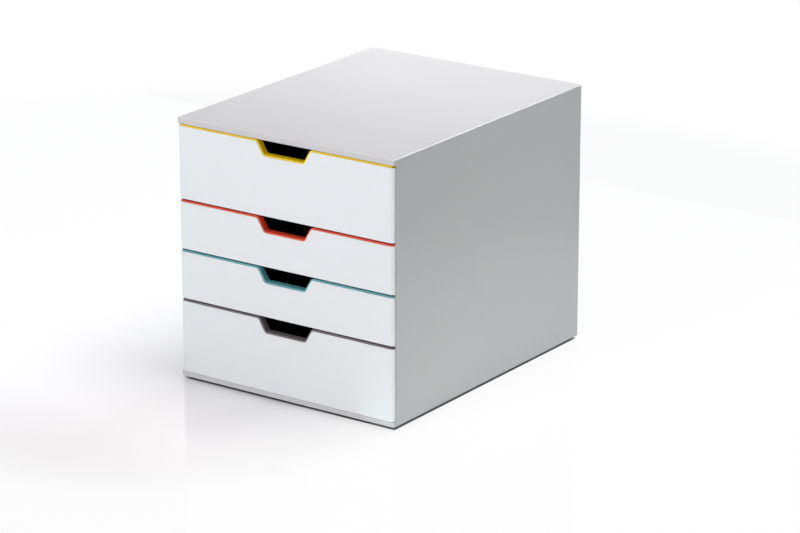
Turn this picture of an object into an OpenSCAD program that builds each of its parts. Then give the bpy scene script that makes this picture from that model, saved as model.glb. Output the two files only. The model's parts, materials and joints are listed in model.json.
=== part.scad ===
// Desktop drawer box: a moulded housing that holds four pull-out drawers on a grid of equal units.
// Millimetres. Origin at the centre of the footprint, on the surface that the feet stand on.
// +Z is up and the drawer fronts face -Y.

/* [Housing] */
// Width over the side walls
body_w = 280; // [260:1:330]
// Depth from the front strips to the rear rim
body_d = 356; // [330:1:400]
// Wall of the moulded shell
shell_wall = 3; // [2.6:0.1:4]
// Height of the strip along the front of the top
top_strip_h = 6.3; // [5.4:0.1:8]
// Height of the strip along the front of the base
base_strip_h = 5.4; // [5.2:0.1:8]
// Depth of the solid strips at the front and rear of the top and the base
strip_d = 6; // [5:0.5:10]
// Thickness of the floor between the base strips
base_floor_t = 2.5; // [2:0.1:3]
// How far the side walls stand back behind the front strips
side_setback = 5; // [4.8:0.1:6]
// Corner radius seen from above
corner_r = 3; // [2:0.5:6]
// Rounding along the upper edge
top_edge_r = 1.2; // [0.6:0.1:1.8]
// Rounding along the lower edge
bottom_edge_r = 0.8; // [0.4:0.1:1.5]
// Thickness of the stiffening ribs
rib_t = 1.8; // [1.2:0.1:2.5]
// Distance that the ribs stay short of the strips' faces
rib_relief = 0.4; // [0.2:0.1:0.8]
// Largest distance between two stiffening ribs
rib_pitch = 62; // [45:1:90]

/* [Back panel] */
// Thickness of the back panel
back_t = 2.5; // [2:0.1:3.5]
// How far its face lies inside the rear rim
back_recess = 2; // [1:0.1:3]
// Width of the ledge that it seats on, all round
back_ledge = 1.5; // [1.2:0.1:1.8]
// Width of the raised border on its outer face
back_border = 14; // [8:1:25]
// Depth of the field inside that border
back_field = 0.8; // [0.4:0.1:1.2]

/* [Drawer grid] */
// Height of one unit of the grid
unit_h = 27.8; // [26:0.05:34]
// Units of the bottom drawer
bottom_units = 3; // [2:1:4]
// Units of the third drawer
third_units = 2; // [2:1:4]
// Units of the second drawer
second_units = 2; // [2:1:4]
// Units of the top drawer
top_units = 3; // [2:1:4]
// Gap between one drawer front and the next
front_gap = 3.6; // [3:0.1:5]
// Gap between the top drawer front and the top strip
gap_under_top = 2.6; // [1.5:0.1:4]
// Gap between the bottom drawer front and the base strip
gap_over_base = 0.3; // [0.3:0.1:1.5]

/* [Drawer front] */
// How far each end of a front lies inside the housing's side
front_inset = 0.6; // [0.3:0.1:1.5]
// Wall of the white front cover
cover_t = 2; // [1.9:0.1:2.4]
// Wall that is left of the cover where the coloured edge sits behind it
cover_lip = 0.8; // [0.6:0.1:0.9]
// Depth of the cover's sides
cover_d = 4; // [3.6:0.1:4.2]
// Corner radius of the cover seen from above
cover_r = 5; // [3.5:0.1:6]

/* [Coloured edge] */
// Wall of the coloured edge
edge_t = 2; // [1.6:0.1:2.4]
// Depth from the front plane to the rear of its rim
edge_d = 8.2; // [7.2:0.1:9]
// Height of its two legs, measured across the edge line
edge_leg = 4.6; // [3.5:0.1:5]
// Thickness of the leg behind the cover's lip
edge_front_leg_t = 0.9; // [0.7:0.1:1]
// Thickness of the leg behind the tray's front wall
edge_rear_leg_t = 1.8; // [1.4:0.1:2.2]

/* [Grip] */
// Width of the grip at the front's upper edge
grip_w = 70.5; // [60:0.5:90]
// Width of the grip's floor
grip_floor_w = 53; // [40:0.5:58]
// Depth of the grip below the front's upper edge
grip_h = 14.9; // [12:0.1:20]
// Radius between the grip's side and the upper edge
grip_mouth_r = 3.5; // [2.5:0.1:5]
// Radius between the grip's side and its floor
grip_floor_r = 4.5; // [3:0.1:6]
// Depth of the finger ledge from the front plane
ledge_d = 10.5; // [9:0.1:16]
// Height of the rolled lip behind the ledge
ledge_lip_h = 6; // [4:0.1:9]

/* [Tray] */
// Wall of the tray
tray_wall = 2; // [1.6:0.1:2.6]
// Thickness of the tray's floor
tray_floor = 2; // [1.6:0.1:2.6]
// Outer corner radius of the tray seen from above
tray_r = 9; // [8:0.5:14]
// Outer radius between the tray's walls and its floor
tray_foot_r = 4; // [3:0.5:5]
// How much each wall leans out over its height
tray_draft = 1; // [0.5:0.1:1.5]
// Clearance under the tray, above its front's lower edge
tray_lift = 0.8; // [0.6:0.1:1.5]
// Space between the tray and the back panel when it is shut
tray_rear_gap = 8.5; // [4:0.5:20]

/* [Runners] */
// Height of the stand-offs between a side wall and its runner panel
standoff = 2; // [1.5:0.1:4]
// Thickness of the runner panel
runner_t = 2; // [1.6:0.1:2.6]
// How far the guide ribs stand out from the panel
guide_d = 5.5; // [5:0.1:7]
// Thickness of a guide rib
guide_t = 1.8; // [1.2:0.1:2]
// Thickness of the flange that slides between two guide ribs
flange_t = 2.4; // [2:0.1:2.8]
// Height clearance of the flange, above and below
slide_clear = 0.3; // [0.2:0.05:0.5]
// Side clearance between the tray and the guide ribs
side_clear = 0.5; // [0.3:0.05:0.8]
// Length of the flared mouth at the front of each guide
lead_in = 8; // [5:0.5:12]
// How much the mouth opens, above and below
lead_open = 0.9; // [0.4:0.1:1.1]

/* [Travel] */
// How far each drawer pulls out
travel = 255; // [200:1:265]
// Length of the stop in each guide
stop_len = 4; // [3:0.5:6]
// How far the stop and the tray's catch stand out
stop_bite = 1.5; // [1.2:0.1:1.7]
// Length of the ramp behind the catch
catch_ramp = 7; // [5:0.5:10]
// Length of the slot that lets the catch flex
catch_slot_len = 26; // [20:1:40]
// Width of that slot
catch_slot_w = 1; // [0.8:0.1:1.2]

/* [Feet] */
// Diameter of a rubber foot
foot_d = 16; // [12:0.5:20]
// How far a foot stands out below the base
foot_proud = 3; // [0.8:0.1:4]
// How deep a foot sits in its socket
foot_seat = 2; // [1.5:0.1:2.2]
// Distance from a foot's centre to the sides, front and rear of the housing
foot_inset = 20; // [16:0.5:40]
// Chamfer round a foot's underside
foot_chamfer = 0.6; // [0.3:0.1:0.8]
// Wall of the socket round a foot
socket_wall = 2; // [1.5:0.1:3]

/* [Fits] */
// Gap between two pieces that are pressed or snapped together
fit = 0.15; // [0.1:0.01:0.2]
// Gap kept between moving pieces and what they pass
running_gap = 0.5; // [0.3:0.05:0.8]

/* [Hidden] */

housing_grey = "#c6cac9";
cover_white = "#e5e8ea";
tray_grey = "#34363a";
rubber_grey = "#2b2b2d";
yellow = "#e0b414";
red = "#cf4a30";
teal = "#5f9ea3";
taupe = "#665c60";

arc_steps = 6;
round_fn = 64;
past = 1;

front_y = -body_d / 2;
rear_y = body_d / 2;
inner_x = body_w / 2 - shell_wall;

levels = bottom_units + third_units + second_units + top_units;
third_level = bottom_units;
second_level = third_level + third_units;
top_level = second_level + second_units;

base_z = foot_proud;
base_top_z = base_z + base_strip_h;
floor_under_z = base_top_z - base_floor_t;
stack_z = base_top_z + gap_over_base;
strip_under_z = stack_z + levels * unit_h - front_gap + gap_under_top;
body_h = strip_under_z + top_strip_h;
roof_z = body_h - shell_wall;

back_front_y = rear_y - back_recess - back_t;

runner_x = inner_x - standoff - runner_t;
guide_tip_x = runner_x - guide_d;
runner_y = front_y + edge_d + running_gap;
runner_end_y = back_front_y - fit;
runner_top_z = strip_under_z - fit;

tray_x = guide_tip_x - side_clear;
plate_y = cover_t + fit;
plate_rear_y = plate_y + tray_wall;
tray_front_y = front_y + plate_y;
tray_rear_y = back_front_y - tray_rear_gap;
rim_drop = edge_t + fit;
flange_x = runner_x - stop_bite - side_clear;

stop_y = runner_y + lead_in;
stop_rear_y = stop_y + stop_len;
catch_y = stop_rear_y + travel + slide_clear;

foot_x = body_w / 2 - foot_inset;
foot_y = body_d / 2 - foot_inset;

grip_lean = atan((grip_w - grip_floor_w) / 2 / grip_h);
ledge_half = grip_floor_w / 2 - grip_floor_r * tan((90 - grip_lean) / 2);

function front_z(level) = stack_z + level * unit_h;
function front_top(level, units) = front_z(level) + units * unit_h - front_gap;
function rim_z(level) = stack_z + level * unit_h - front_gap - rim_drop;

// ---- outlines ----

function unit_to(a, b) = (b - a) / norm(b - a);

// Points of the arc of radius r that rounds the corner b between a and c.
function rounded(a, b, c, r) =
    let (
        to_a = unit_to(b, a),
        to_c = unit_to(b, c),
        half = acos(to_a * to_c) / 2,
        centre = b + (to_a + to_c) / norm(to_a + to_c) * r / sin(half),
        from = b + to_a * r / tan(half) - centre,
        till = b + to_c * r / tan(half) - centre
    )
    [for (i = [0:arc_steps])
        let (t = i / arc_steps, swing = 180 - 2 * half)
        centre + (from * sin(swing * (1 - t)) + till * sin(swing * t)) / sin(swing)];

// The front's upper edge with the grip in its middle, seen from the front, in x and z.
// It lies the distance d inside the front's material, and z = 0 is the front's upper edge.
function edge_line(d) =
    let (
        far = body_w,
        spread = d / cos(grip_lean),
        mouth = [grip_w / 2 + spread - d * tan(grip_lean), -d],
        foot = [grip_w / 2 + spread - (grip_h + d) * tan(grip_lean), -grip_h - d],
        mouth_r = max(grip_mouth_r - d, 0.3),
        floor_r = grip_floor_r + d,
        right = concat(
            rounded([0, foot.y], foot, mouth, floor_r),
            rounded(foot, mouth, [far, -d], mouth_r),
            [[far, -d]]
        ),
        count = len(right)
    )
    concat([for (i = [count - 1:-1:0]) [-right[i].x, right[i].y]], right);

// Everything below the edge line.
module below_edge(d) {
    deep = -levels * unit_h;
    polygon(concat([[-body_w, deep]], edge_line(d), [[body_w, deep]]));
}

// The strip between two distances from the edge line.
module edge_band(d_from, d_to) {
    difference() {
        below_edge(d_from);
        below_edge(d_to);
    }
}

// Extrudes an outline in x and z between two depths behind the front plane.
module front_slice(depth_from, depth_to) {
    translate([0, front_y + depth_to, 0])
        rotate([90, 0, 0])
            linear_extrude(depth_to - depth_from) children();
}

// Extrudes an outline in y and z between two places along x.
module side_slice(x_from, x_to) {
    translate([x_from, 0, 0])
        rotate([90, 0, 90])
            linear_extrude(x_to - x_from) children();
}

// Plan of a drawer front, the distance inset inside its faces, cut off at a depth behind the front.
module front_plan(inset, depth) {
    half = body_w / 2 - front_inset - inset;
    r = cover_r - inset;
    translate([0, front_y])
        intersection() {
            translate([-body_w, 0]) square([2 * body_w, depth]);
            union() {
                translate([-half, inset + r]) square([2 * half, body_d]);
                translate([r - half, inset]) square([2 * half - 2 * r, body_d]);
                for (side = [-1, 1])
                    translate([side * (half - r), inset + r]) circle(r, $fn = round_fn);
            }
        }
}

// ---- shared solids ----

// Sweeps a section round a rectangle with rounded corners. The section's x runs outwards from the
// centre of the corner radius r, and its y is the height.
module swept_walls(w, d, r) {
    for (quarter = [0:3]) {
        turned = quarter % 2 == 1;
        across = (turned ? d : w) / 2 - r;
        along = (turned ? w : d) / 2 - r;
        rotate([0, 0, quarter * 90]) {
            translate([across, along, 0]) rotate_extrude(angle = 90, $fn = round_fn) children();
            translate([across, along, 0]) rotate([90, 0, 0]) linear_extrude(2 * along) children();
        }
    }
}

// Block with rounded upright corners and rounded upper and lower edges.
module rounded_block(w, d, z_from, z_to) {
    swept_walls(w, d, corner_r)
        difference() {
            translate([0, z_from]) square([corner_r, z_to - z_from]);
            translate([corner_r, z_to]) edge_cut(top_edge_r, -1);
            translate([corner_r, z_from]) edge_cut(bottom_edge_r, 1);
        }
    translate([corner_r - w / 2, corner_r - d / 2, z_from])
        cube([w - 2 * corner_r, d - 2 * corner_r, z_to - z_from]);
}

// What a rounding of radius r takes away from an outer corner.
module edge_cut(r, up) {
    difference() {
        translate([-r, min(0, up * r)]) square(r);
        translate([-r, up * r]) circle(r, $fn = round_fn);
    }
}

// Evenly spread places of ribs between two ends, no further apart than rib_pitch.
function spread(from, till) =
    let (gaps = ceil((till - from) / rib_pitch))
    [for (i = [1:gaps - 1]) from + (till - from) * i / gaps];

// A grid of stiffening ribs inside the shell between two heights.
module rib_grid(z_from, z_to) {
    rib_from = front_y + strip_d - past;
    rib_till = rear_y - strip_d + past;
    for (x = spread(-inner_x, inner_x))
        translate([x - rib_t / 2, rib_from, z_from])
            cube([rib_t, rib_till - rib_from, z_to - z_from]);
    for (y = spread(front_y + strip_d, rear_y - strip_d))
        translate([-inner_x - past, y - rib_t / 2, z_from])
            cube([2 * inner_x + 2 * past, rib_t, z_to - z_from]);
}

module at_feet() {
    for (side = [-1, 1])
        for (end = [-1, 1])
            translate([side * foot_x, end * foot_y, 0]) children();
}

// ---- housing ----

module housing_shell() {
    hollow_d = body_d - 2 * strip_d;
    color(housing_grey)
        difference() {
            union() {
                difference() {
                    rounded_block(body_w, body_d, base_z, body_h);
                    // room for the drawers, open at the front and the rear
                    translate([-inner_x, front_y - past, base_top_z])
                        cube([2 * inner_x, body_d + 2 * past, strip_under_z - base_top_z]);
                    // the side walls stand back behind the strips
                    translate([-body_w / 2 - past, front_y - past, base_top_z])
                        cube([body_w + 2 * past, side_setback + past, strip_under_z - base_top_z]);
                    // hollow under the roof and hollow under the floor
                    translate([-inner_x, front_y + strip_d, strip_under_z - past])
                        cube([2 * inner_x, hollow_d, roof_z - strip_under_z + past]);
                    translate([-inner_x, front_y + strip_d, base_z - past])
                        cube([2 * inner_x, hollow_d, floor_under_z - base_z + past]);
                }
                rib_grid(strip_under_z + rib_relief, roof_z + past);
                rib_grid(base_z + rib_relief, floor_under_z + past);
                at_feet()
                    translate([0, 0, base_z + rib_relief])
                        cylinder(
                            h = floor_under_z - base_z,
                            d = foot_d + 2 * fit + 2 * socket_wall,
                            $fn = round_fn
                        );
            }
            back_opening(back_ledge);
            at_feet()
                cylinder(h = base_z + foot_seat, d = foot_d + 2 * fit, $fn = round_fn);
        }
}

// The rear opening down to the back panel's seat, wider than the inside by the ledge.
module back_opening(ledge) {
    translate([-inner_x - ledge, back_front_y, base_top_z - ledge])
        cube([2 * inner_x + 2 * ledge, back_t + back_recess + past, roof_z - base_top_z + 2 * ledge]);
}

module back_panel() {
    half = inner_x + back_ledge - fit;
    low = base_top_z - back_ledge + fit;
    high = roof_z + back_ledge - fit;
    color(housing_grey)
        difference() {
            translate([-half, back_front_y, low]) cube([2 * half, back_t, high - low]);
            translate([-half + back_border, back_front_y + back_t - back_field, low + back_border])
                cube([2 * half - 2 * back_border, back_t, high - low - 2 * back_border]);
        }
}

// Support and hold-down rib of one level, with a flared mouth at the front.
module guide_pair(level) {
    under = rim_z(level) - flange_t - slide_clear;
    over = rim_z(level) + slide_clear;
    side_slice(guide_tip_x, runner_x + runner_t / 2) {
        polygon([
            [runner_y, under - guide_t],
            [runner_end_y, under - guide_t],
            [runner_end_y, under],
            [runner_y + lead_in, under],
            [runner_y, under - lead_open],
        ]);
        polygon([
            [runner_y, over + guide_t],
            [runner_end_y, over + guide_t],
            [runner_end_y, over],
            [runner_y + lead_in, over],
            [runner_y, over + lead_open],
        ]);
    }
    // the stop that the tray's catch meets when the drawer is fully out
    translate([runner_x - stop_bite, stop_y, under - guide_t / 2])
        cube([stop_bite + runner_t / 2, stop_len, over - under + guide_t]);
}

// Runner panel for the right-hand side.
module runner_panel() {
    length = runner_end_y - runner_y;
    height = runner_top_z - base_top_z;
    color(housing_grey) {
        translate([runner_x, runner_y, base_top_z]) cube([runner_t, length, height]);
        for (y = concat([runner_y, runner_end_y - rib_t], spread(runner_y, runner_end_y)))
            translate([runner_x + runner_t / 2, y, base_top_z])
                cube([standoff + runner_t / 2, rib_t, height]);
        for (z = [base_top_z, runner_top_z - rib_t])
            translate([runner_x + runner_t / 2, runner_y, z])
                cube([standoff + runner_t / 2, length, rib_t]);
        for (level = [1:levels]) guide_pair(level);
    }
}

module left_runner_panel() {
    mirror([1, 0, 0]) runner_panel();
}

module foot(side, end) {
    color(rubber_grey)
        translate([side * foot_x, end * foot_y, 0]) {
            cylinder(h = foot_chamfer, d1 = foot_d - 2 * foot_chamfer, d2 = foot_d, $fn = round_fn);
            translate([0, 0, foot_chamfer])
                cylinder(h = base_z + foot_seat - foot_chamfer, d = foot_d, $fn = round_fn);
        }
}

// ---- drawers ----

// Section of the tray's wall and the floor's edge, outwards from the corner centre.
module tray_section(height) {
    inner_r = max(tray_foot_r - tray_wall, 0.5);
    outer_x = tray_r - tray_draft;
    inner_side_x = outer_x - tray_wall;
    polygon(concat(
        [[0, 0]],
        rounded([0, 0], [outer_x, 0], [tray_r, height], tray_foot_r),
        [[tray_r, height], [tray_r - tray_wall, height]],
        rounded([tray_r - tray_wall, height], [inner_side_x, tray_floor], [0, tray_floor], inner_r),
        [[0, tray_floor]]
    ));
}

// Flange along the right-hand side of a tray, with its catch.
module tray_flange(top_z) {
    translate([0, 0, top_z - flange_t])
        linear_extrude(flange_t)
            difference() {
                polygon([
                    [tray_x - tray_wall / 2, front_y + plate_rear_y - fit],
                    [flange_x, front_y + plate_rear_y - fit],
                    [flange_x, catch_y],
                    [flange_x + stop_bite, catch_y],
                    [flange_x + stop_bite, catch_y + stop_len / 2],
                    [flange_x, catch_y + stop_len / 2 + catch_ramp],
                    [flange_x, tray_rear_y - tray_r],
                    [tray_x - tray_wall / 2, tray_rear_y - tray_r],
                ]);
                translate([tray_x + slide_clear, catch_y + stop_len - catch_slot_len / 2])
                    square([catch_slot_w, catch_slot_len]);
            }
}

module drawer_tray(level, units) {
    low = front_z(level) + tray_lift;
    top = front_top(level, units);
    rim = top - rim_drop;
    w = 2 * tray_x;
    d = tray_rear_y - tray_front_y;
    color(tray_grey)
        difference() {
            union() {
                translate([0, (tray_rear_y + tray_front_y) / 2, low]) {
                    swept_walls(w, d, tray_r) tray_section(rim - low);
                    translate([tray_r - w / 2, tray_r - d / 2, 0])
                        cube([w - 2 * tray_r, d - 2 * tray_r, tray_floor]);
                }
                // the wide plate that carries the cover
                translate([0, 0, front_z(level) + cover_t + fit])
                    linear_extrude(rim - front_z(level) - cover_t - fit)
                        front_plan(plate_y, plate_rear_y);
                tray_flange(rim);
                mirror([1, 0, 0]) tray_flange(rim);
            }
            // the grip passes through the front wall
            translate([0, 0, top])
                front_slice(plate_y - past, plate_rear_y + tray_draft + past)
                    difference() {
                        translate([-grip_w, -2 * grip_h]) square([2 * grip_w, 3 * grip_h]);
                        below_edge(rim_drop);
                    }
        }
}

module drawer_edge(level, units, colour) {
    top = front_top(level, units);
    face = cover_lip + fit;
    // the rear leg clears the tray's front wall, which leans in towards its foot
    wall_lean = tray_draft * (grip_h + edge_leg) / (top - rim_drop - front_z(level) - tray_lift);
    rear_leg_from = plate_rear_y + fit + wall_lean;
    // the edge narrows where it passes between the side walls and between the tray's corners
    clear_half = inner_x - running_gap;
    rear_leg_half = tray_x - tray_r - fit;
    nose_y = front_y + ledge_d - edge_t;
    floor_z = top - grip_h;
    color(colour) {
        intersection() {
            translate([0, 0, top - 2 * grip_h])
                linear_extrude(2 * grip_h + past) front_plan(face, cover_d);
            translate([0, 0, top]) {
                front_slice(face, cover_d) edge_band(0, edge_t);
                front_slice(face, face + edge_front_leg_t) edge_band(0, edge_leg);
            }
        }
        translate([0, 0, top]) {
            front_slice(cover_d - fit, edge_d)
                intersection() {
                    edge_band(0, edge_t);
                    translate([-clear_half, -2 * grip_h]) square([2 * clear_half, 3 * grip_h]);
                }
            front_slice(rear_leg_from, rear_leg_from + edge_rear_leg_t)
                intersection() {
                    edge_band(0, edge_leg);
                    translate([-rear_leg_half, -2 * grip_h]) square([2 * rear_leg_half, 3 * grip_h]);
                }
        }
        // finger ledge with a rolled lip
        translate([-ledge_half, front_y + edge_d - past, floor_z - edge_t])
            cube([2 * ledge_half, ledge_d - edge_d - edge_t + past, edge_t]);
        translate([-ledge_half, nose_y, floor_z - edge_t])
            rotate([0, 90, 0]) cylinder(h = 2 * ledge_half, r = edge_t, $fn = round_fn);
        translate([-ledge_half, nose_y, floor_z - ledge_lip_h])
            cube([2 * ledge_half, edge_t, ledge_lip_h - edge_t]);
    }
}

module drawer_front(level, units) {
    low = front_z(level);
    top = front_top(level, units);
    color(cover_white)
        difference() {
            translate([0, 0, low]) linear_extrude(top - low) front_plan(0, cover_d);
            // hollow behind the face, closed at the bottom and the sides
            translate([0, 0, low + cover_t])
                linear_extrude(top - low) front_plan(cover_t, cover_d + past);
            // rebate for the coloured edge
            intersection() {
                translate([0, 0, top - 2 * grip_h])
                    linear_extrude(2 * grip_h + past) front_plan(cover_lip, cover_d + past);
                translate([0, 0, top])
                    front_slice(0, cover_d + past) edge_band(-past, edge_leg + fit);
            }
            translate([0, 0, top])
                front_slice(-past, cover_d + past)
                    difference() {
                        translate([-grip_w, -2 * grip_h]) square([2 * grip_w, 3 * grip_h]);
                        below_edge(0);
                    }
        }
}

housing_shell();
back_panel();
left_runner_panel();
runner_panel();  // right_runner_panel
foot(-1, -1);  // front_left_foot
foot(1, -1);  // front_right_foot
foot(-1, 1);  // rear_left_foot
foot(1, 1);  // rear_right_foot
drawer_tray(top_level, top_units);  // top_drawer_tray
drawer_edge(top_level, top_units, yellow);  // top_drawer_edge
drawer_front(top_level, top_units);  // top_drawer_front
drawer_tray(second_level, second_units);  // second_drawer_tray
drawer_edge(second_level, second_units, red);  // second_drawer_edge
drawer_front(second_level, second_units);  // second_drawer_front
drawer_tray(third_level, third_units);  // third_drawer_tray
drawer_edge(third_level, third_units, teal);  // third_drawer_edge
drawer_front(third_level, third_units);  // third_drawer_front
drawer_tray(0, bottom_units);  // bottom_drawer_tray
drawer_edge(0, bottom_units, taupe);  // bottom_drawer_edge
drawer_front(0, bottom_units);  // bottom_drawer_front
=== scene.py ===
import json
import math

import bmesh
import bpy
from mathutils import Matrix, Vector


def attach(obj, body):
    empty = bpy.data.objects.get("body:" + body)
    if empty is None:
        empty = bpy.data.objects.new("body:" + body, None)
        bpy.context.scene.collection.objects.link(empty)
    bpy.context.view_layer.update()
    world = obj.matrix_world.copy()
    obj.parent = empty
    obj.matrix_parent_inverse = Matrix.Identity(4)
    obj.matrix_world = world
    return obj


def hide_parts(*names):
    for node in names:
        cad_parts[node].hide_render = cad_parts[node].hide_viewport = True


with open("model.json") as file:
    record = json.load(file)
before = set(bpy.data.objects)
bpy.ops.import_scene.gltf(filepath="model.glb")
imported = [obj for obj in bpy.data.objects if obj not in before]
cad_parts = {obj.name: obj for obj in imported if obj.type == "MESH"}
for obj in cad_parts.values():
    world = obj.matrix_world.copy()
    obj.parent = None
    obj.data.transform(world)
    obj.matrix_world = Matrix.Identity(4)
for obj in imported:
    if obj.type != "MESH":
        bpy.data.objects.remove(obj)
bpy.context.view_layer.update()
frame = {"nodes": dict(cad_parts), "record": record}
nodes = frame["nodes"]
record = frame["record"]
slotOf = {part["node"]: part["material_slot"] for part in record["subparts"]}
bodyOf = {node: body for body, members in record["behaviour"]["bodies"].items() for node in members}
mm = 0.001
print("frame loaded:", len(nodes), "nodes")


# camera, at the photograph's viewpoint

cameraSetup = {
    "place": (2.06269, -2.90271, 1.28018),
    "azimuth": 35.1038,  # degrees round from the fronts towards the right side
    "elevation": 18.2672,
    "roll": -0.0083,
    "lens": 155.189,
    "sensorWidth": 36,
    "clip": (0.1, 80),
}


def addCamera(setup):
    data = bpy.data.cameras.new("photoCamera")
    data.lens = setup["lens"]
    data.sensor_width = setup["sensorWidth"]
    data.clip_start, data.clip_end = setup["clip"]
    camera = bpy.data.objects.new("photoCamera", data)
    bpy.context.scene.collection.objects.link(camera)
    turn = (
        Matrix.Rotation(math.radians(setup["azimuth"]), 3, "Z")
        @ Matrix.Rotation(math.radians(90 - setup["elevation"]), 3, "X")
        @ Matrix.Rotation(math.radians(setup["roll"]), 3, "Z")
    )
    camera.rotation_euler = turn.to_euler()
    camera.location = setup["place"]
    bpy.context.scene.camera = camera


addCamera(cameraSetup)
print("camera placed")


# materials

def paint(code):  # linear colour of an sRGB code such as #c6cac9
    shares = [int(code[i:i + 2], 16) / 255 for i in (1, 3, 5)]
    return [s / 12.92 if s < 0.04045 else ((s + 0.055) / 1.055) ** 2.4 for s in shares] + [1.0]


def shaded(colour, gain):
    return [min(1.0, c * gain) for c in colour[:3]] + [1.0]


class Graph:
    def __init__(self, material):
        material.use_nodes = True
        self.tree = material.node_tree
        self.tree.nodes.clear()

    def add(self, kind, **values):
        node = self.tree.nodes.new("ShaderNode" + kind)
        for name, value in values.items():
            setattr(node, name, value)
        return node

    def link(self, source, target):
        self.tree.links.new(source, target)

    def noise(self, place, scale, detail=2.0, stretch=None):
        if stretch:
            mapping = self.add("Mapping")
            mapping.inputs["Scale"].default_value = stretch
            self.link(place, mapping.inputs["Vector"])
            place = mapping.outputs["Vector"]
        noise = self.add("TexNoise")
        noise.inputs["Scale"].default_value = scale
        noise.inputs["Detail"].default_value = detail
        self.link(place, noise.inputs["Vector"])
        return noise.outputs["Fac"]

    def spread(self, value, low, high, newLow, newHigh):
        node = self.add("MapRange")
        for name, number in zip(("From Min", "From Max", "To Min", "To Max"), (low, high, newLow, newHigh)):
            node.inputs[name].default_value = number
        self.link(value, node.inputs["Value"])
        return node.outputs["Result"]

    def combine(self, first, second, operation):
        node = self.add("Math", operation=operation)
        self.link(first, node.inputs[0])
        self.link(second, node.inputs[1])
        return node.outputs[0]

    def blend(self, share, first, second):  # between two colours, each a list or an output
        node = self.add("Mix", data_type="RGBA")
        self.link(share, node.inputs["Factor"])
        for socket, colour in ((node.inputs[6], first), (node.inputs[7], second)):
            if isinstance(colour, list):
                socket.default_value = colour
            else:
                self.link(colour, socket)
        return node.outputs[2]

    def outside(self, place, halfSizes):  # 0 within a rectangle about the origin, 1 beyond it
        border = 0.5 * mm
        parts = self.add("SeparateXYZ")
        self.link(place, parts.inputs[0])
        reaches = []
        for axis, half in zip("XY", halfSizes):
            size = self.add("Math", operation="ABSOLUTE")
            self.link(parts.outputs[axis], size.inputs[0])
            reaches.append(self.spread(size.outputs[0], half, half + border, 0, 1))
        return self.combine(*reaches, "MAXIMUM")

    def bump(self, height, strength, distance, under=None):
        node = self.add("Bump")
        node.inputs["Strength"].default_value = strength
        node.inputs["Distance"].default_value = distance
        self.link(height, node.inputs["Height"])
        if under:
            self.link(under, node.inputs["Normal"])
        return node.outputs["Normal"]


def mouldedPlastic(name, look):
    material = bpy.data.materials.new(name)
    graph = Graph(material)
    place = graph.add("TexCoord").outputs["Object"]
    shader = graph.add("BsdfPrincipled")
    output = graph.add("OutputMaterial")
    graph.link(shader.outputs["BSDF"], output.inputs["Surface"])

    colour = paint(look["colour"])
    cloud = graph.spread(graph.noise(place, look["cloudScale"], 3.0), 0.3, 0.7, 0, 1)
    tone = graph.blend(cloud, shaded(colour, 1 - look["cloud"]), shaded(colour, 1 + look["cloud"]))

    # edges that hands and shelves rub are a little paler and duller
    rounded = graph.add("Bevel", samples=4)
    rounded.inputs["Radius"].default_value = look["wearWidth"]
    flat = graph.add("NewGeometry")
    closeness = graph.add("VectorMath", operation="DOT_PRODUCT")
    graph.link(rounded.outputs["Normal"], closeness.inputs[0])
    graph.link(flat.outputs["Normal"], closeness.inputs[1])
    edge = graph.spread(closeness.outputs["Value"], *look["wearBend"], 0, 1)
    patches = graph.spread(graph.noise(place, look["patchScale"], 4.0), 0.42, 0.62, 0.25, 1)
    worn = graph.spread(graph.combine(edge, patches, "MULTIPLY"), 0, 1, 0, look["wear"])
    tone = graph.blend(worn, tone, paint(look["wornColour"]))
    graph.link(tone, shader.inputs["Base Color"])

    # the gloss drifts with the mould's flow, and faint hairlines from handling dull it
    flow = graph.noise(place, look["flowScale"], 2.0, look["flowStretch"])
    dullest, glossiest = look["roughness"] + look["roughSpread"], look["roughness"] - look["roughSpread"]
    gloss = graph.spread(flow, 0.3, 0.7, glossiest, dullest)
    hairs = graph.noise(place, look["hairScale"], 5.0, look["hairStretch"])
    gloss = graph.combine(gloss, graph.spread(hairs, 0.5, 0.8, 0, look["hairlines"]), "ADD")
    gloss = graph.combine(gloss, graph.spread(worn, 0, 1, 0, look["wearRoughness"]), "ADD")
    graph.link(gloss, shader.inputs["Roughness"])

    grain = graph.noise(place, look["grainScale"], 2.0)
    swell = graph.noise(place, look["swellScale"], 1.0)
    normal = graph.bump(swell, look["swell"], look["swellDepth"])
    normal = graph.bump(grain, look["grain"], look["grainDepth"], normal)
    graph.link(normal, shader.inputs["Normal"])

    shader.inputs["IOR"].default_value = look["ior"]
    shader.inputs["Specular IOR Level"].default_value = 0.5
    return material


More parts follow.
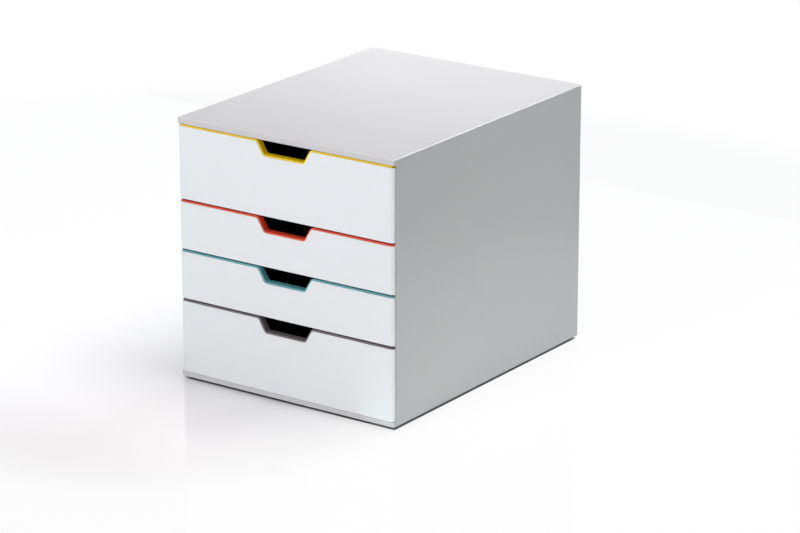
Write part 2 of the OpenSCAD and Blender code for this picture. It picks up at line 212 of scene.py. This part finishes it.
plasticBase = {
    "cloudScale": 9.0, "cloud": 0.012,
    "wearWidth": 0.5 * mm, "wear": 0.25, "wearRoughness": 0.25, "patchScale": 90,
    "wearBend": (0.995, 0.85),  # cosines of the bend where wear begins and where it is full
    "roughSpread": 0.03, "flowScale": 36.0, "flowStretch": (0.35, 1.6, 1.0),
    "hairlines": 0.02, "hairScale": 22, "hairStretch": (9.0, 0.6, 9.0),
    "grainScale": 1500.0, "grain": 0.12, "grainDepth": 0.03 * mm,
    "swellScale": 26.0, "swell": 0.05, "swellDepth": 0.2 * mm,
    "ior": 1.5,
}
finishes = {
    "housing": {"colour": "#c8c8c9", "wornColour": "#d6d7d8", "roughness": 0.22},
    "front": {"colour": "#e3e8e9", "wornColour": "#eceeef", "roughness": 0.2, "cloud": 0.006},
    "tray": {"colour": "#343538", "wornColour": "#505154", "roughness": 0.5, "grain": 0.5, "cloud": 0.05},
    "yellow_edge": {"colour": "#f4cf0c", "wornColour": "#ecd055", "roughness": 0.36, "grain": 0.25},
    "red_edge": {"colour": "#e84d2e", "wornColour": "#dc6a50", "roughness": 0.36, "grain": 0.25},
    "teal_edge": {"colour": "#62a7ad", "wornColour": "#7fb4b9", "roughness": 0.36, "grain": 0.25},
    "taupe_edge": {"colour": "#746a6b", "wornColour": "#83797c", "roughness": 0.36, "grain": 0.25},
    "rubber": {"colour": "#29292b", "wornColour": "#454547", "roughness": 0.8, "grain": 0.8, "cloud": 0.08},
}
materials = {
    slot: mouldedPlastic(slot + "Plastic", {**plasticBase, **look}) for slot, look in finishes.items()
}
print("materials made:", len(materials))


# mouldings: each visible CAD piece is taken over with its edges softened as a mould leaves them

softening = {
    "housing_shell": {"radius": 0.35 * mm, "segments": 2},
    "back_panel": {"radius": 0.35 * mm, "segments": 2},
    "tray": {"radius": 0.35 * mm, "segments": 2},
    "edge": {"radius": 0.22 * mm, "segments": 2, "stand": 1.7 * mm},  # stands above the white cover's edge
    "front": {"radius": 0.3 * mm, "segments": 3},
}
meshCare = {
    "mergeWithin": 0.02 * mm,
    "cleanWithin": 0.001 * mm,
    "flatBend": 0.5,  # degrees up to which neighbouring faces become one
    "softenedBend": 30,  # degrees from which an edge is softened
    "sharpBend": 40,  # degrees from which shading breaks
    "normalWeight": 80,
    "upward": 0.2,  # a face that points up at least this much belongs to the coloured edge's line
}


def ridePiece(piece, node):
    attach(piece, bodyOf[node])
    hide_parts(node)
    piece.data.materials.clear()
    piece.data.materials.append(materials[slotOf[node]])


def finishMesh(mesh, piece):
    for face in mesh.polygons:
        face.use_smooth = True
    mesh.set_sharp_from_angle(angle=math.radians(meshCare["sharpBend"]))
    weights = piece.modifiers.new("weights", "WEIGHTED_NORMAL")
    weights.keep_sharp = True
    weights.weight = meshCare["normalWeight"]


def raiseLine(shape, height):
    # moves the upward faces out along their own normals, so the strip keeps its width round the grip
    line = [face for face in shape.faces if face.normal.z > meshCare["upward"]]
    normals = {}
    for face in line:
        for vert in face.verts:
            normals.setdefault(vert, []).append(Vector((face.normal.x, 0, face.normal.z)).normalized())
    for vert, around in normals.items():
        first = around[0]
        other = min(around, key=first.dot)
        vert.co += (first + other) * (height / (1 + first.dot(other)))


def softenedPiece(node, radius, segments, stand=0):
    shape = bmesh.new()
    shape.from_mesh(nodes[node].data)
    bmesh.ops.remove_doubles(shape, verts=shape.verts, dist=meshCare["mergeWithin"])
    bmesh.ops.dissolve_limit(
        shape, angle_limit=math.radians(meshCare["flatBend"]),
        verts=shape.verts, edges=shape.edges, use_dissolve_boundaries=False,
    )
    if stand:
        raiseLine(shape, stand)
    bend = math.radians(meshCare["softenedBend"])
    corners = [edge for edge in shape.edges if edge.is_manifold and edge.calc_face_angle(0) > bend]
    bmesh.ops.bevel(
        shape, geom=corners, offset=radius, offset_type="OFFSET", affect="EDGES",
        segments=segments, profile=0.5, material=-1, clamp_overlap=True,
    )
    bmesh.ops.remove_doubles(shape, verts=shape.verts, dist=meshCare["cleanWithin"])
    bmesh.ops.dissolve_degenerate(shape, dist=meshCare["cleanWithin"], edges=shape.edges)
    mesh = bpy.data.meshes.new(node + "_moulding")
    shape.to_mesh(mesh)
    shape.free()
    piece = bpy.data.objects.new(node + "_moulding", mesh)
    bpy.context.scene.collection.objects.link(piece)
    finishMesh(mesh, piece)
    ridePiece(piece, node)


for node in nodes:
    kind = node if node in softening else node.rsplit("_", 1)[1]
    if kind in softening:
        softenedPiece(node, **softening[kind])
    else:
        nodes[node].data.materials.clear()
        nodes[node].data.materials.append(materials[slotOf[node]])
print("mouldings softened")


# studio: a pale glossy table, a white surround, soft lamps, and three cards that only the gloss sees

studio = {
    "tableRadius": 9.0,
    "tableColour": "#f4f4f5",
    "tableRoughness": 0.08,
    "tableIor": 1.45,
    "tableCloud": 0.995,
    "fadeCentre": (-0.17, -0.19, 0),  # round here the table shows the box's shadow and mirror image
    "fadeReach": (0.16, 0.34),  # distances from there between which it turns nearly white
    "fadeShare": 0.87,
    "farReach": (0.4, 1.2),  # distances between which it turns plain white
    "footprint": (0.1386, 0.1752),  # half sizes of the part under the box, painted dark as the shadow in the gap beneath it
    "paintedShadowColour": "#8c8c8e",
    "upperGloss": 0.1,
    "horizon": (0.02, 0.2),  # heights between which the surround dims for the gloss
    "overhead": (0.4, 0.55),  # heights between which it turns white again
}


def seenDirectly(graph):  # 1 for what the camera sees straight, or in gloss or glass
    path = graph.add("LightPath")
    seen = graph.combine(path.outputs["Is Camera Ray"], path.outputs["Is Glossy Ray"], "MAXIMUM")
    return graph.combine(seen, path.outputs["Is Transmission Ray"], "MAXIMUM")


def stagePlane(name, corners, material):
    shape = bmesh.new()
    shape.faces.new([shape.verts.new(corner) for corner in corners])
    mesh = bpy.data.meshes.new(name)
    shape.to_mesh(mesh)
    shape.free()
    mesh.materials.append(material)
    plane = bpy.data.objects.new(name, mesh)
    bpy.context.scene.collection.objects.link(plane)
    return plane


def addTable(setup):
    material = bpy.data.materials.new("paleTable")
    graph = Graph(material)
    place = graph.add("TexCoord").outputs["Object"]
    shader = graph.add("BsdfPrincipled")
    shader.inputs["Roughness"].default_value = setup["tableRoughness"]
    shader.inputs["IOR"].default_value = setup["tableIor"]
    colour = paint(setup["tableColour"])
    cloudy = graph.blend(graph.noise(place, 3.0), shaded(colour, setup["tableCloud"]), colour)
    around = graph.outside(place, setup["footprint"])
    # under the box the table's colour is a painted shadow, the dark seen through the gap beneath it
    graph.link(graph.blend(around, paint(setup["paintedShadowColour"]), cloudy), shader.inputs["Base Color"])
    distance = graph.add("VectorMath", operation="DISTANCE")
    distance.inputs[1].default_value = setup["fadeCentre"]
    graph.link(place, distance.inputs[0])
    white = graph.add("Emission")
    mix = graph.add("MixShader")
    near = graph.spread(distance.outputs["Value"], *setup["fadeReach"], 0, setup["fadeShare"])
    far = graph.spread(distance.outputs["Value"], *setup["farReach"], 0, 1)
    lift = graph.combine(graph.combine(near, far, "MAXIMUM"), around, "MULTIPLY")
    graph.link(graph.combine(lift, seenDirectly(graph), "MULTIPLY"), mix.inputs[0])
    graph.link(shader.outputs["BSDF"], mix.inputs[1])
    graph.link(white.outputs["Emission"], mix.inputs[2])
    graph.link(mix.outputs["Shader"], graph.add("OutputMaterial").inputs["Surface"])
    reach = setup["tableRadius"]
    corners = [(-reach, -reach, 0), (reach, -reach, 0), (reach, reach, 0), (-reach, reach, 0)]
    stagePlane("table", corners, material)


def addSurround(setup):
    world = bpy.data.worlds.new("surround")
    bpy.context.scene.world = world
    graph = Graph(world)
    # white near the horizon and overhead, dimmer between, and without light of its own for the box
    parts = graph.add("SeparateXYZ")
    graph.link(graph.add("TexCoord").outputs["Generated"], parts.inputs[0])
    dark, white, mix = graph.add("Background"), graph.add("Background"), graph.add("MixShader")
    dark.inputs["Strength"].default_value = 0
    low = graph.spread(parts.outputs["Z"], *setup["horizon"], 1, setup["upperGloss"])
    high = graph.spread(parts.outputs["Z"], *setup["overhead"], 0, 1)
    graph.link(graph.combine(low, high, "MAXIMUM"), white.inputs["Strength"])
    graph.link(seenDirectly(graph), mix.inputs[0])
    graph.link(dark.outputs[0], mix.inputs[1])
    graph.link(white.outputs[0], mix.inputs[2])
    graph.link(mix.outputs[0], graph.add("OutputWorld").inputs["Surface"])


# each card's glow is a list of heights and strengths
cards = {
    # white behind the box, seen in the gloss of its top, dimmer towards the card's upper edge
    "backCard": {
        "line": ((-1.9, 0.7), (0.9, 0.7)), "height": 0.62, "tint": (1.0, 1.0, 1.0),
        "across": (-0.52, -0.2, 1.13, 0.82),  # between these x, the glow's share falls as said
        "glow": (
            (0.0, 1.3), (0.47, 1.35), (0.505, 1.25), (0.53, 0.9), (0.55, 0.65), (0.604, 0.1), (0.62, 0.0),
        ),
    },
    # dim beyond the table's right side, seen in the gloss of the box's side
    "sideCard": {
        "line": ((0.80, -0.45), (0.04, 1.16)), "height": 0.5, "tint": (0.86, 1.02, 0.94),
        "glow": ((0.0, 0.55), (0.5, 0.55)),
    },
    # high behind, seen only in the rolled upper edge of the right side
    "rimCard": {
        "line": ((0.21, 1.96), (1.45, 1.46)), "height": 2.1, "tint": (1.0, 1.0, 1.0),
        "glow": ((0.0, 0.0), (0.95, 0.0), (1.1, 12.0), (2.0, 12.0), (2.1, 0.0)),
    },
}
strongestGlow = 16
cardFoot = 2 * mm


def addCard(name, setup):
    material = bpy.data.materials.new(name)
    graph = Graph(material)
    parts = graph.add("SeparateXYZ")
    graph.link(graph.add("TexCoord").outputs["Object"], parts.inputs[0])
    ramp = graph.add("FloatCurve")
    ramp.mapping.clip_max_y = strongestGlow
    points = ramp.mapping.curves[0].points
    top = setup["height"]
    first, *middle, last = [(height / top, glow) for height, glow in setup["glow"]]
    points[0].location = first
    for height, glow in middle:
        points.new(height, glow)
    points[-1].location = last
    for point in points:
        point.handle_type = "VECTOR"
    ramp.mapping.update()
    graph.link(graph.spread(parts.outputs["Z"], 0, top, 0, 1), ramp.inputs["Value"])
    emission = graph.add("Emission")
    emission.inputs["Color"].default_value = (*setup["tint"], 1)
    strength = ramp.outputs["Value"]
    if "across" in setup:
        share = graph.spread(parts.outputs["X"], *setup["across"])
        strength = graph.combine(strength, share, "MULTIPLY")
    graph.link(strength, emission.inputs["Strength"])
    graph.link(emission.outputs["Emission"], graph.add("OutputMaterial").inputs["Surface"])
    (x0, y0), (x1, y1) = setup["line"]
    corners = [(x0, y0, cardFoot), (x1, y1, cardFoot), (x1, y1, top), (x0, y0, top)]
    card = stagePlane(name, corners, material)
    card.visible_camera = card.visible_diffuse = card.visible_transmission = False
    card.visible_shadow = card.visible_volume_scatter = False


lamps = {
    "frontSoftbox": {
        "place": (-0.3, -2.4, 2.4), "aim": (0, 0, 0.2), "size": (1.2, 1.0),
        "power": 45, "tint": (1.0, 1.0, 1.0),
    },
    "lowSoftbox": {
        "place": (0.1, -3.0, 0.5), "aim": (0, 0, 0.1), "size": (1.4, 0.8),
        "power": 24.6, "tint": (0.965, 0.935, 1.0),
    },
    "overheadSoftbox": {
        "place": (0.45, 0.2, 2.1), "aim": (0, 0, 0.2), "size": (1.6, 1.6),
        "power": 33, "tint": (1.0, 0.922, 0.92),
    },
    "backSoftbox": {
        "place": (0.2, 2.4, 2.2), "aim": (0, 0, 0.2), "size": (1.6, 1.2),
        "power": 36.3, "tint": (0.733, 0.908, 1.0),
    },
    # lies beside the box and throws light up at its right side, as a white card on the table does
    "tableBounce": {
        "place": (0.45, 0.0, 0.004), "aim": (0.45, 0.001, 1), "size": (0.7, 0.45),
        "power": 0.43, "tint": (0.85, 1.02, 0.93),
    },
}


def addLamp(name, setup):
    data = bpy.data.lights.new(name, "AREA")
    data.shape = "RECTANGLE"
    data.size, data.size_y = setup["size"]
    data.energy = setup["power"]
    data.color = setup["tint"]
    lamp = bpy.data.objects.new(name, data)
    bpy.context.scene.collection.objects.link(lamp)
    lamp.location = setup["place"]
    direction = Vector(setup["aim"]) - Vector(setup["place"])
    lamp.rotation_euler = direction.to_track_quat("-Z", "Y").to_euler()
    lamp.visible_glossy = lamp.visible_camera = False


addTable(studio)
addSurround(studio)
for name, setup in cards.items():
    addCard(name, setup)
for name, setup in lamps.items():
    addLamp(name, setup)
bpy.context.scene.view_settings.view_transform = "Standard"
print("studio lit")
